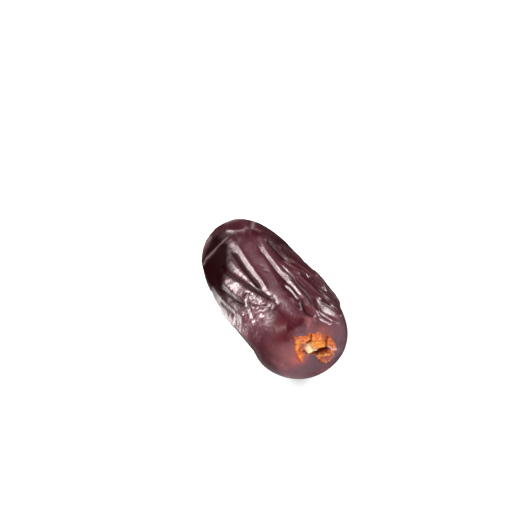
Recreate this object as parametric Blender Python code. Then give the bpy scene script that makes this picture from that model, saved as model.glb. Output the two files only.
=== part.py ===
"""A khudri date, dried on the palm and laid on its side.

The fruit grew as one piece, so it is one closed solid: a blunt oval body whose
skin has shrunk into long folds, with the open stem scar at the +X end and the
blossom end at -X. The fold relief is worked out by formula and pushes each
vertex of a sphere along the body's normal. A small flat spot underneath is
where the fruit has settled under its own weight.
"""
import math

import bmesh
import bpy
import numpy as np
from mathutils import Matrix

MM = 0.001

# Body: long axis along X, the stem end at +X, up is +Z.
LENGTH = 41.0 * MM
WIDTH = 19.2 * MM
HEIGHT = 18.4 * MM
BLOSSOM_BLUNTNESS = 3.15
STEM_BLUNTNESS = 2.95
STEM_SWELL = 0.09
END_RISE = 1.3 * MM
END_SWAY = -0.25 * MM
END_DRIFT = 0.4 * MM

# Waist: a shallow hollow low on the near side of the stem half.
WAIST_DEPTH = 0.10
WAIST_PLACE = 0.45
WAIST_REACH = 0.35
WAIST_TURN = 1.9
WAIST_SPREAD = 0.7

# Resting spot: the skin is flat below this height of the free body.
REST_LEVEL = -8.9 * MM
REST_BLEND = 2.2 * MM
CENTRE_X = 0.17 * MM
CENTRE_Y = 0.10 * MM

SEGMENTS = 96
RINGS = 62
ROUTE_SAMPLES = 26
NARROWEST_REACH = 0.58 * MM
CREST_RADIUS = 0.35 * MM

# Folds seen on the near side and the top. A place on the skin is (along, around):
# along runs from 0 at the stem pole to 1 at the blossom pole, and around is the
# angle in degrees from the top, growing towards the near side (-Y).
# Each row is route, height and flank reach in mm, and lean to one side; a height
# below zero is a furrow.
FOLDS = [
    # main ridge over the top, steep on its near side, and the recess beside it
    ([(0.645, -11), (0.62, -8), (0.58, -4.5), (0.55, -2), (0.52, -1.5), (0.48, -1),
      (0.44, -1.5), (0.41, -3), (0.385, -4)], 0.50, 0.66, 0.30),
    ([(0.44, -1.5), (0.41, -2.5), (0.38, -3), (0.35, -3), (0.32, -3.5), (0.29, -4.5),
      (0.26, -7), (0.235, -10), (0.215, -13)], 0.40, 0.42, 0.20),
    ([(0.60, 1), (0.57, 2), (0.54, 2.5), (0.50, 2.5), (0.47, 3), (0.44, 3), (0.41, 2),
      (0.385, 1.5), (0.36, 0.5), (0.33, 0), (0.31, 0)], -0.34, 0.34, 0.00),
    ([(0.55, 4), (0.53, 5), (0.50, 7), (0.47, 8.5), (0.44, 9.5), (0.415, 10.5), (0.395, 11)],
     0.16, 0.50, -0.50),
    # hooked ridge in the recess
    ([(0.40, 3.0), (0.37, 2.3), (0.35, 2.6), (0.33, 2.5), (0.315, 2.2), (0.302, 3.2),
      (0.294, 5.2), (0.29, 8)], 0.26, 0.28, 0.00),
    # band that turns in front of the stem dome, the valley below it and the hollow above it
    ([(0.36, 18), (0.33, 17), (0.30, 16.5), (0.275, 16), (0.25, 13), (0.228, 6), (0.212, -1),
      (0.205, -5)], 0.22, 0.70, 0.00),
    ([(0.335, 30), (0.315, 28.5), (0.28, 27.5), (0.25, 26), (0.233, 24), (0.222, 17),
      (0.213, 11), (0.205, 7)], -0.26, 0.80, 0.00),
    ([(0.236, 28), (0.232, 34), (0.228, 41), (0.222, 50)], -0.16, 0.60, 0.00),
    ([(0.315, 0), (0.295, 2.5), (0.275, 3), (0.255, 0.5), (0.238, -2.5), (0.228, -5)],
     -0.34, 0.50, 0.00),
    # second ridge, down to the dome, and the creases on each side of it
    ([(0.50, -5), (0.47, -6.5), (0.445, -8), (0.42, -9), (0.395, -10), (0.365, -12),
      (0.345, -13), (0.32, -15), (0.30, -17), (0.28, -18.5)], 0.32, 0.40, 0.20),
    ([(0.51, -3.5), (0.48, -4.5), (0.46, -5), (0.42, -6), (0.39, -6), (0.36, -7), (0.33, -8.5),
      (0.30, -9.5), (0.27, -11.5), (0.25, -16.5), (0.238, -22), (0.229, -30), (0.224, -38),
      (0.222, -48), (0.225, -56)], -0.34, 0.24, 0.00),
    ([(0.265, -13), (0.25, -15), (0.24, -20), (0.228, -25), (0.215, -32), (0.205, -40)],
     0.16, 0.32, 0.00),
    ([(0.235, -7), (0.222, -8.5), (0.211, -12), (0.204, -18), (0.195, -27), (0.193, -34)],
     0.18, 0.30, 0.00),
    ([(0.30, -20), (0.292, -27), (0.283, -34), (0.273, -42), (0.265, -52), (0.26, -60)],
     -0.32, 0.28, 0.00),
    # finer ridges and creases towards the far side
    ([(0.50, -12), (0.48, -13.5), (0.46, -16), (0.44, -19), (0.43, -22), (0.42, -25),
      (0.40, -29)], 0.49, 0.29, 0.10),
    ([(0.45, -13), (0.42, -15), (0.39, -17), (0.36, -19.5), (0.33, -23), (0.305, -29),
      (0.285, -38)], 0.49, 0.33, 0.10),
    ([(0.43, -17), (0.40, -20), (0.37, -23), (0.345, -27), (0.32, -33), (0.30, -41)],
     -0.49, 0.28, 0.00),
    ([(0.645, -15), (0.61, -18), (0.585, -20), (0.565, -21.5), (0.54, -22), (0.51, -21),
      (0.485, -22)], 0.30, 0.28, 0.20),
    ([(0.62, -13), (0.59, -14), (0.56, -15), (0.53, -15.5), (0.50, -17), (0.47, -20)],
     -0.49, 0.31, 0.00),
    ([(0.60, -26), (0.57, -29), (0.55, -33), (0.52, -38), (0.49, -42), (0.45, -46), (0.41, -48)],
     0.55, 0.39, 0.10),
    ([(0.58, -24), (0.55, -26), (0.52, -29), (0.49, -33), (0.46, -37), (0.43, -40)],
     -0.49, 0.31, 0.00),
    ([(0.52, -24), (0.49, -24.5), (0.47, -27), (0.455, -30), (0.43, -33), (0.40, -36),
      (0.37, -40), (0.34, -46)], 0.49, 0.33, 0.10),
    ([(0.50, -52), (0.44, -55), (0.40, -58), (0.36, -62), (0.32, -68)], 0.55, 0.55, 0.00),
    # long shoulder down the near side, with the furrow under it
    ([(0.655, 22), (0.62, 21.5), (0.59, 22), (0.56, 22.5), (0.53, 23), (0.50, 23),
      (0.475, 23.5), (0.44, 23.5), (0.41, 24.5), (0.385, 26)], 0.25, 0.50, -0.20),
    ([(0.625, 33), (0.60, 31), (0.57, 31), (0.53, 31.5), (0.50, 31.3), (0.468, 31), (0.44, 31),
      (0.41, 31.5)], -0.52, 0.26, 0.00),
    ([(0.675, 24), (0.66, 23), (0.645, 23), (0.63, 24), (0.615, 26)], 0.26, 0.75, -0.30),
    # broad ridges beside it, each with a furrow on its low side
    ([(0.61, 41), (0.58, 40), (0.55, 38.5), (0.52, 36.5), (0.49, 35), (0.465, 34)],
     0.18, 0.60, -0.30),
    ([(0.62, 56), (0.59, 53.5), (0.56, 51), (0.53, 47.5), (0.50, 44), (0.47, 41), (0.45, 38.5),
      (0.42, 35), (0.39, 31.5), (0.365, 28.5), (0.35, 27)], -0.48, 0.34, 0.00),
    ([(0.57, 67), (0.55, 63), (0.53, 61), (0.51, 60), (0.49, 59), (0.465, 57), (0.45, 54),
      (0.44, 50)], 0.44, 0.90, 0.45),
    ([(0.57, 77), (0.54, 72), (0.51, 69), (0.48, 66.5), (0.455, 64), (0.435, 60), (0.425, 55)],
     -0.50, 0.38, 0.00),
    ([(0.55, 81), (0.53, 79), (0.50, 77), (0.47, 75), (0.44, 73), (0.41, 70), (0.385, 66)],
     0.42, 0.80, 0.20),
    ([(0.56, 92), (0.53, 88), (0.50, 85), (0.47, 82.5), (0.44, 80)], -0.34, 0.40, 0.00),
    ([(0.58, 106), (0.54, 102), (0.51, 100), (0.48, 98), (0.45, 96), (0.42, 94), (0.39, 91),
      (0.36, 88), (0.33, 85)], 0.60, 0.95, 0.35),
    # crumpled patch: short ridges and creases that run round the fruit
    ([(0.43, 43), (0.425, 46.5), (0.41, 47.5), (0.395, 46.5), (0.38, 44.5), (0.37, 41),
      (0.362, 37), (0.358, 33)], 0.24, 0.35, 0.00),
    ([(0.42, 50), (0.405, 51), (0.39, 50), (0.378, 46.5), (0.366, 42), (0.352, 38), (0.347, 33)],
     -0.26, 0.25, 0.00),
    ([(0.372, 58), (0.363, 52), (0.355, 47.5), (0.347, 43), (0.341, 39), (0.336, 34.5)],
     0.28, 0.35, 0.00),
    ([(0.45, 45), (0.435, 48), (0.42, 51.5), (0.40, 55), (0.38, 57.5), (0.36, 59.5), (0.34, 61)],
     -0.32, 0.30, 0.00),
    ([(0.345, 62), (0.338, 56), (0.333, 50), (0.327, 45)], 0.18, 0.34, 0.00),
    ([(0.41, 80), (0.39, 76), (0.37, 72), (0.35, 69), (0.33, 67)], 0.30, 0.55, 0.10),
    ([(0.27, 51), (0.266, 46), (0.26, 42), (0.25, 38), (0.24, 34.5)], 0.18, 0.45, 0.00),
    # crease beside the stem scar and the swelling under it
    ([(0.20, -78), (0.165, -84), (0.135, -88), (0.10, -92), (0.07, -98), (0.045, -115)],
     -0.26, 0.80, 0.00),
    ([(0.18, -98), (0.14, -101), (0.10, -106), (0.07, -116), (0.055, -135)], 0.26, 0.70, 0.00),
    # creases over the blossom end
    ([(0.72, 24), (0.713, 20), (0.697, 15), (0.686, 9.5), (0.68, 4), (0.67, -1)],
     0.22, 0.45, 0.20),
    ([(0.66, 0), (0.672, -1.5), (0.69, -4), (0.71, -7), (0.73, -11), (0.745, -16)],
     0.30, 0.40, 0.00),
    ([(0.69, 75), (0.688, 68), (0.685, 60), (0.68, 54), (0.675, 48), (0.67, 42), (0.665, 36)],
     0.28, 0.40, 0.00),
]

# Broad dents: place, half length, half width and depth in mm; a depth below zero is a
# swelling.
DENTS = [
    ((0.48, 15), 8.0, 2.4, 0.15),
    ((0.27, 28), 2.6, 3.0, 0.30),
    ((0.27, 2), 1.6, 1.2, 0.30),
    ((0.31, 125), 3.5, 3.5, -0.55),
    ((0.71, 88), 4.0, 4.0, -0.35),
    ((0.50, 150), 12.0, 6.0, 0.50),
    ((0.55, -110), 10.0, 6.0, 0.50),
    ((0.35, -150), 8.0, 5.0, 0.40),
]

# Net of long folds over the sides that face away, thinning out over the near side.
NET_CELLS = 120
NET_SEED = 3
NET_STRETCH = 3.6
NET_REACH = 0.62 * MM
NET_CREST = 0.25 * MM
NET_HEIGHT = 0.42 * MM
NET_LEVEL = 0.25
WARP_LENGTH = 7.0 * MM
WARP_SIZE = 0.5 * MM
SWELL_LENGTH = 12.0 * MM

# Crumpled skin low on the near side: spacing and height of its short wrinkles, the way
# they run and how far they are drawn out, and where they stand: place, half length and
# half width in mm.
CRUMPLE_LENGTH = 3.2 * MM
CRUMPLE_HEIGHT = 0.18 * MM
CRUMPLE_SEED = 24
CRUMPLE_RUN = (0.36, -0.73, -0.58)
CRUMPLE_STRETCH = 2.0
CRUMPLED = [
    ((0.375, 48), 3.2, 2.6),
    ((0.45, 87), 6.0, 3.0),
    ((0.50, 57), 4.5, 2.6),
]

# Stem scar: where the fruit came off its strand, above the stem pole. Its ragged outline
# is given as (near, up) in mm from the middle of the scar.
SCAR_NEAR = 0.05 * MM
SCAR_UP = 3.3 * MM
SCAR_DEPTH = 0.40 * MM
SCAR_WALL = 0.55 * MM
SCAR_LIP = 0.09 * MM
SCAR_OUTLINE = [
    (4.1, 2.9), (2.6, 3.1), (1.5, 3.3), (0.6, 3.5), (-0.3, 3.2), (-1.1, 3.0), (-2.3, 2.3),
    (-3.0, 1.5), (-3.7, 0.1), (-4.2, -1.1), (-4.5, -2.1), (-3.5, -2.2), (-3.5, -3.1),
    (-2.8, -3.9), (-1.7, -4.1), (-0.6, -3.5), (0.2, -2.0), (0.6, -1.1), (1.6, -0.8), (2.3, -0.7),
    (2.8, -1.2), (3.0, -2.2), (3.6, -2.4), (4.1, -1.0), (4.3, 0.7), (4.3, 2.1),
]

# Forms in the scar: start, end, half width and height in mm.
SCAR_FORMS = [
    # stub of the stem fibres, and the bent strand beside it
    ((1.80, 1.00), (1.70, 0.10), 0.60, 0.75),
    ((1.60, 0.60), (-0.20, -0.50), 0.45, 0.55),
    # flesh standing up behind the strand
    ((0.80, 1.00), (-1.20, 0.20), 0.50, 0.40),
    ((1.30, 1.60), (-1.00, 1.30), 0.45, 0.30),
    # torn pocket under the strand, and the flesh swelling below it
    ((0.20, -0.60), (-2.20, -1.20), 0.45, -0.90),
    ((-1.40, -2.60), (-2.60, -3.20), 0.90, 0.15),
]


def body_surface(along, around):
    """Points and outward normals of the smooth body at polar angle along and turn around.

    A cross-section lies on a superellipse of revolution: u runs down the length and
    w is the share of the full girth, with |u|^b + |w|^b = 1 for the bluntness b. The
    girth then swells towards the stem, draws in at the waist, and the ends lift.
    """
    cosine = np.cos(along)
    sine = np.sin(along)
    bluntness = STEM_BLUNTNESS + (BLOSSOM_BLUNTNESS - STEM_BLUNTNESS) * (0.5 - 0.5 * cosine)
    reach = (np.abs(cosine) ** bluntness + np.abs(sine) ** bluntness) ** (-1.0 / bluntness)
    u = cosine * reach
    w = sine * reach
    off_turn = np.arctan2(np.sin(around - WAIST_TURN), np.cos(around - WAIST_TURN))
    waist = WAIST_DEPTH * np.exp(-((u - WAIST_PLACE) / WAIST_REACH) ** 2
                                 - (off_turn / WAIST_SPREAD) ** 2)
    girth = w * (1.0 + STEM_SWELL * u - waist)
    points = np.stack([
        LENGTH / 2 * u,
        -WIDTH / 2 * girth * np.sin(around) + END_SWAY * u * u + END_DRIFT * u,
        HEIGHT / 2 * girth * np.cos(around) + END_RISE * u * u,
    ], axis=-1)
    normals = np.stack([
        np.sign(u) * np.abs(u) ** (bluntness - 1) / (LENGTH / 2),
        -np.sin(around) * w ** (bluntness - 1) / (WIDTH / 2),
        np.cos(around) * w ** (bluntness - 1) / (HEIGHT / 2),
    ], axis=-1)
    return points, normals / np.linalg.norm(normals, axis=-1, keepdims=True)


def smooth_step(value, low, high):
    """0 below low, 1 above high, and a smooth rise between."""
    share = np.clip((value - low) / (high - low), 0.0, 1.0)
    return share * share * (3.0 - 2.0 * share)


def smooth_route(places, count):
    """Points evenly spread on a Catmull-Rom curve through the given places."""
    stops = np.asarray(places, dtype=float)
    stops = np.vstack([2 * stops[0] - stops[1], stops, 2 * stops[-1] - stops[-2]])
    at = np.linspace(0.0, len(stops) - 3 - 1e-9, count)
    index = at.astype(int)
    f = (at - index)[:, None]
    a, b, c, d = (stops[index + shift] for shift in range(4))
    return 0.5 * (2 * b + (c - a) * f + (2 * a - 5 * b + 4 * c - d) * f ** 2
                  + (3 * b - a - 3 * c + d) * f ** 3)


def fold(points, places, height, reach, lean):
    """Height of one fold, a ridge or a furrow along a route on the body.

    The profile over the distance d is exp(-(sqrt(d^2 + r^2) - r) / reach): a crest of
    radius r with hollow flanks. The reach is longer on one side by the lean, and the
    height rises and fades away smoothly over the first and last 0.15 of the route.
    """
    route = smooth_route(places, ROUTE_SAMPLES)
    centres, normals = body_surface(route[:, 0] * math.pi, np.radians(route[:, 1]))
    nearest = np.full(len(points), np.inf)
    side = np.zeros(len(points))
    progress = np.zeros(len(points))
    for i in range(ROUTE_SAMPLES - 1):
        run = centres[i + 1] - centres[i]
        length = np.linalg.norm(run)
        share = np.clip((points - centres[i]) @ run / length ** 2, 0.0, 1.0)
        offset = points - centres[i] - share[:, None] * run
        distance = np.linalg.norm(offset, axis=1)
        closer = distance < nearest
        nearest[closer] = distance[closer]
        side[closer] = np.sign(offset @ np.cross(normals[i], run / length))[closer]
        progress[closer] = (i + share[closer]) / (ROUTE_SAMPLES - 1)
    fade = smooth_step(progress, 0.0, 0.15) * smooth_step(1.0 - progress, 0.0, 0.15)
    flank = reach * (1.0 + lean * side)
    return height * fade * np.exp(-(np.hypot(nearest, CREST_RADIUS) - CREST_RADIUS) / flank)


def ripple(points, wavelength, seed, waves=20):
    """Smooth noise about -1 to 1: a sum of plane waves in seeded random directions."""
    rng = np.random.default_rng(seed)
    directions = rng.normal(size=(waves, 3))
    directions /= np.linalg.norm(directions, axis=1, keepdims=True)
    numbers = 2 * math.pi / wavelength * rng.uniform(0.7, 1.4, waves)
    phases = rng.uniform(0.0, 2 * math.pi, waves)
    return np.sin(points @ (directions * numbers[:, None]).T + phases).sum(axis=1) \
        * math.sqrt(2.0 / waves)


def fold_net(points):
    """Ridges along the borders between cells scattered over the body and drawn out along X."""
    rng = np.random.default_rng(NET_SEED)
    along = np.arccos(rng.uniform(-0.97, 0.97, NET_CELLS))
    around = rng.uniform(-math.pi, math.pi, NET_CELLS)
    squeeze = np.array([1.0 / NET_STRETCH, 1.0, 1.0])
    seeds = body_surface(along, around)[0] * squeeze
    warp = np.stack([ripple(points, WARP_LENGTH, 11 + i) for i in range(3)], axis=1)
    warped = (points + WARP_SIZE * warp) * squeeze
    distances = np.linalg.norm(warped[:, None, :] - seeds[None, :, :], axis=2)
    first, second = np.partition(distances, 1, axis=1)[:, :2].T
    return np.exp(-(np.hypot(second - first, NET_CREST) - NET_CREST) / NET_REACH)


def crumple(points):
    """Short wrinkles of about one spacing, where smooth noise drawn out one way is zero."""
    run = np.array(CRUMPLE_RUN)
    drawn = points - (points @ run)[:, None] * run * (1.0 - 1.0 / CRUMPLE_STRETCH)
    noise = ripple(drawn, CRUMPLE_LENGTH, CRUMPLE_SEED)
    return np.exp(-(np.hypot(noise, 0.3) - 0.3) / 0.45)


def patch(points, place, half_length, half_width):
    """1 at a place on the skin, falling off along and around the body."""
    centre = body_surface(np.array([place[0] * math.pi]), np.radians([place[1]]))[0][0]
    offset = points - centre
    across = offset[:, 1] ** 2 + offset[:, 2] ** 2
    return np.exp(-(offset[:, 0] / half_length) ** 2 - across / half_width ** 2)


def stroke_distance(places, start, end):
    """Distance of each place from the straight stroke between two ends."""
    run = end - start
    from_start = places - start
    share = np.clip(from_start @ run / (run @ run), 0.0, 1.0)
    return np.linalg.norm(from_start - share[:, None] * run, axis=1)


def inside_outline(places, outline):
    """Distance from a closed outline, above zero inside it and below zero outside."""
    nearest = np.full(len(places), np.inf)
    crossings = np.zeros(len(places), dtype=int)
    for start, end in zip(outline, np.roll(outline, -1, axis=0)):
        nearest = np.minimum(nearest, stroke_distance(places, start, end))
        spans = (start[1] > places[:, 1]) != (end[1] > places[:, 1])
        rise = end[1] - start[1]
        at = start[0] + (places[:, 1] - start[1]) * (end[0] - start[0]) / rise if rise else 0.0
        crossings += spans & (places[:, 0] < at)
    return np.where(crossings % 2 == 1, nearest, -nearest)


def stem_scar(points):
    """Height of the stem scar and its mask.

    The outline gives a wall down to a sunken floor and a lip of skin outside it; each
    form adds height * exp(-(distance from its stroke / half width)^2).
    """
    places = np.stack([-points[:, 1] - SCAR_NEAR, points[:, 2] - SCAR_UP], axis=1)
    front = smooth_step(points[:, 0], 12.0 * MM, 15.0 * MM)
    within = inside_outline(places, np.array(SCAR_OUTLINE) * MM)
    inside = smooth_step(within, -0.15 * MM, SCAR_WALL)
    lip = np.exp(-((within + 0.40 * MM) / (0.40 * MM)) ** 2)
    height = SCAR_LIP * lip - SCAR_DEPTH * inside
    for start, end, half_width, lift in SCAR_FORMS:
        away = stroke_distance(places, np.array(start) * MM, np.array(end) * MM)
        height += lift * MM * np.exp(-(away / (half_width * MM)) ** 2) * inside
    return height * front, inside * front


def skin_relief(points):
    """Height of the skin over the smooth body: folds, dents, the net of long folds, the scar.

    A fold whose flanks reach less than the mesh can carry is drawn wider and lower.
    """
    height = np.zeros(len(points))
    for places, lift, reach, lean in FOLDS:
        drawn = max(reach * MM, NARROWEST_REACH)
        height += fold(points, places, lift * MM * math.sqrt(reach * MM / drawn), drawn, lean)
    clear_of_rest = smooth_step(points[:, 2], REST_LEVEL, REST_LEVEL + REST_BLEND)
    for place, half_length, half_width, depth in DENTS:
        dent = patch(points, place, half_length * MM, half_width * MM)
        height -= depth * MM * dent * clear_of_rest
    near_side = np.clip(2.0 * patch(points, (0.45, 25), 15.0 * MM, 10.0 * MM), 0.0, 1.0)
    stem_dome = 1.0 / (1.0 + np.exp((13.0 * MM - points[:, 0]) / (1.2 * MM)))
    blossom_end = 1.0 / (1.0 + np.exp((14.0 * MM + points[:, 0]) / (1.5 * MM)))
    swell = 0.4 + 0.8 * np.clip(0.5 + 0.5 * ripple(points, SWELL_LENGTH, 5), 0.0, 1.0)
    where = swell * clear_of_rest * (1.0 - near_side)
    where *= (1.0 - stem_dome) * (1.0 - 0.7 * blossom_end)
    height += NET_HEIGHT * (fold_net(points) - NET_LEVEL) * where
    crumpled = np.zeros(len(points))
    for place, half_length, half_width in CRUMPLED:
        crumpled = np.maximum(crumpled, patch(points, place, half_length * MM, half_width * MM))
    height += CRUMPLE_HEIGHT * (crumple(points) - 0.4) * crumpled
    scar_height, scar_mask = stem_scar(points)
    return height * (1.0 - scar_mask) + scar_height


def dried_skin_material():
    """Dark maroon skin with a soft gloss."""
    material = bpy.data.materials.new("dried_skin")
    material.use_nodes = True
    shader = material.node_tree.nodes["Principled BSDF"]
    shader.inputs["Base Color"].default_value = (0.085, 0.018, 0.024, 1.0)
    shader.inputs["Roughness"].default_value = 0.34
    shader.inputs["Metallic"].default_value = 0.0
    material.diffuse_color = (0.085, 0.018, 0.024, 1.0)
    return material


def build_date():
    """The date: a sphere with its poles on X, moved onto the body and out by the relief."""
    mesh = bpy.data.meshes.new("date_fruit")
    bm = bmesh.new()
    bmesh.ops.create_uvsphere(bm, u_segments=SEGMENTS, v_segments=RINGS, radius=1.0,
                              matrix=Matrix.Rotation(math.pi / 2, 4, "Y"))
    bmesh.ops.triangulate(bm, faces=bm.faces)
    bm.to_mesh(mesh)
    bm.free()
    sphere = np.empty(3 * len(mesh.vertices), dtype=np.float32)
    mesh.vertices.foreach_get("co", sphere)
    sphere = sphere.reshape(-1, 3).astype(float)
    along = np.arccos(np.clip(sphere[:, 0], -1.0, 1.0))
    around = np.arctan2(-sphere[:, 1], sphere[:, 2])
    points, normals = body_surface(along, around)
    points = points + normals * skin_relief(points)[:, None]
    points[:, 2] = np.maximum(points[:, 2], REST_LEVEL)
    points -= (CENTRE_X, CENTRE_Y, REST_LEVEL)
    mesh.vertices.foreach_set("co", points.astype(np.float32).ravel())
    mesh.update()
    mesh.shade_smooth()
    mesh.materials.append(dried_skin_material())
    return bpy.data.objects.new("date_fruit", mesh)


def main():
    for old in list(bpy.data.objects):
        bpy.data.objects.remove(old, do_unlink=True)
    collection = bpy.data.collections.new("khudri_date")
    bpy.context.scene.collection.children.link(collection)
    collection.objects.link(build_date())


main()
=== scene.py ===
import math

import bpy
import numpy as np
from mathutils import Matrix, Vector


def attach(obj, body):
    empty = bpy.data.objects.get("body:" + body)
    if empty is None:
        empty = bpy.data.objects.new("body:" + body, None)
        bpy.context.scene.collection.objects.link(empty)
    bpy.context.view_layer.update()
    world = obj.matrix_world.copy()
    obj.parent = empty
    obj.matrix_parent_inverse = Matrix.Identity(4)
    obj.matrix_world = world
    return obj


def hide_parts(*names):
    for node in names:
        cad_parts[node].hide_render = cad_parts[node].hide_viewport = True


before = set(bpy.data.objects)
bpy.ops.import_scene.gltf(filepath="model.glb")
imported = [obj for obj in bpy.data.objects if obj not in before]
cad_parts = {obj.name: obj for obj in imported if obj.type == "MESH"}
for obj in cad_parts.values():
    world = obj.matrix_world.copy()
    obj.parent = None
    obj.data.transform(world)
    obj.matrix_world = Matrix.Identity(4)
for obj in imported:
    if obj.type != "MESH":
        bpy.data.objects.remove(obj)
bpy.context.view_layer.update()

# The body of the fruit: one dried date, grown in one piece, lying on its side with the
# stem end at +X and the blossom end at -X. Its thin skin has shrunk with the flesh under
# it, so the body is a blunt oval, a little swollen at the stem, with a low waist.
MM = 0.001
LENGTH = 41.0 * MM
WIDTH = 19.2 * MM
HEIGHT = 18.4 * MM
BLOSSOM_BLUNTNESS = 3.15
STEM_BLUNTNESS = 2.95
STEM_SWELL = 0.09
END_RISE = 1.3 * MM
END_SWAY = -0.25 * MM
END_DRIFT = 0.4 * MM
WAIST_DEPTH = 0.10
WAIST_PLACE = 0.45
WAIST_REACH = 0.35
WAIST_TURN = 1.9
WAIST_SPREAD = 0.7
REST_LEVEL = -8.9 * MM
REST_BLEND = 2.2 * MM
CENTRE = np.array([0.17 * MM, 0.10 * MM, REST_LEVEL])


def body_surface(along, around):
    """Points and outward normals of the smooth body at polar angle along and turn around.

    u runs down the length and w is the share of the full girth, with |u|^b + |w|^b = 1
    for the bluntness b. The girth then swells towards the stem, draws in at the waist,
    and both ends lift.
    """
    cosine = np.cos(along)
    sine = np.sin(along)
    bluntness = STEM_BLUNTNESS + (BLOSSOM_BLUNTNESS - STEM_BLUNTNESS) * (0.5 - 0.5 * cosine)
    reach = (np.abs(cosine) ** bluntness + np.abs(sine) ** bluntness) ** (-1.0 / bluntness)
    u = cosine * reach
    w = sine * reach
    off_turn = np.arctan2(np.sin(around - WAIST_TURN), np.cos(around - WAIST_TURN))
    waist = WAIST_DEPTH * np.exp(-((u - WAIST_PLACE) / WAIST_REACH) ** 2
                                 - (off_turn / WAIST_SPREAD) ** 2)
    girth = w * (1.0 + STEM_SWELL * u - waist)
    points = np.stack([
        LENGTH / 2 * u,
        -WIDTH / 2 * girth * np.sin(around) + END_SWAY * u * u + END_DRIFT * u,
        HEIGHT / 2 * girth * np.cos(around) + END_RISE * u * u,
    ], axis=-1)
    normals = np.stack([
        np.sign(u) * np.abs(u) ** (bluntness - 1) / (LENGTH / 2),
        -np.sin(around) * w ** (bluntness - 1) / (WIDTH / 2),
        np.cos(around) * w ** (bluntness - 1) / (HEIGHT / 2),
    ], axis=-1)
    return points, normals / np.linalg.norm(normals, axis=-1, keepdims=True)


def smooth_step(value, low, high):
    """0 below low, 1 above high, and a smooth rise between."""
    share = np.clip((value - low) / (high - low), 0.0, 1.0)
    return share * share * (3.0 - 2.0 * share)


def place_on_body(place):
    """Point on the smooth body at a place (along from 0 to 1, around in degrees)."""
    return body_surface(np.array([place[0] * math.pi]), np.radians([place[1]]))[0][0]


def patch(points, place, half_length, half_width):
    """1 at a place on the skin, falling off along and around the body as a Gaussian."""
    offset = points - place_on_body(place)
    across = offset[:, 1] ** 2 + offset[:, 2] ** 2
    return np.exp(-(offset[:, 0] / half_length) ** 2 - across / half_width ** 2)


def ripple(points, wavelength, seed, waves=20):
    """Smooth noise about -1 to 1: a sum of plane waves in seeded random directions."""
    rng = np.random.default_rng(seed)
    directions = rng.normal(size=(waves, 3))
    directions /= np.linalg.norm(directions, axis=1, keepdims=True)
    numbers = 2 * math.pi / wavelength * rng.uniform(0.7, 1.4, waves)
    phases = rng.uniform(0.0, 2 * math.pi, waves)
    waves_there = np.sin(points @ (directions * numbers[:, None]).T + phases)
    return waves_there.sum(axis=1) * math.sqrt(2.0 / waves)


# The long folds: drying has pinched the skin into ridges that run down the fruit. Each is
# a narrow crest with hollow flanks, carried along a route over the body, and it sinks
# back into the skin at both ends.
ROUTE_SAMPLES = 30
FOLD_SCOPE = 5.0
FOLD_FADE = 0.15
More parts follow.
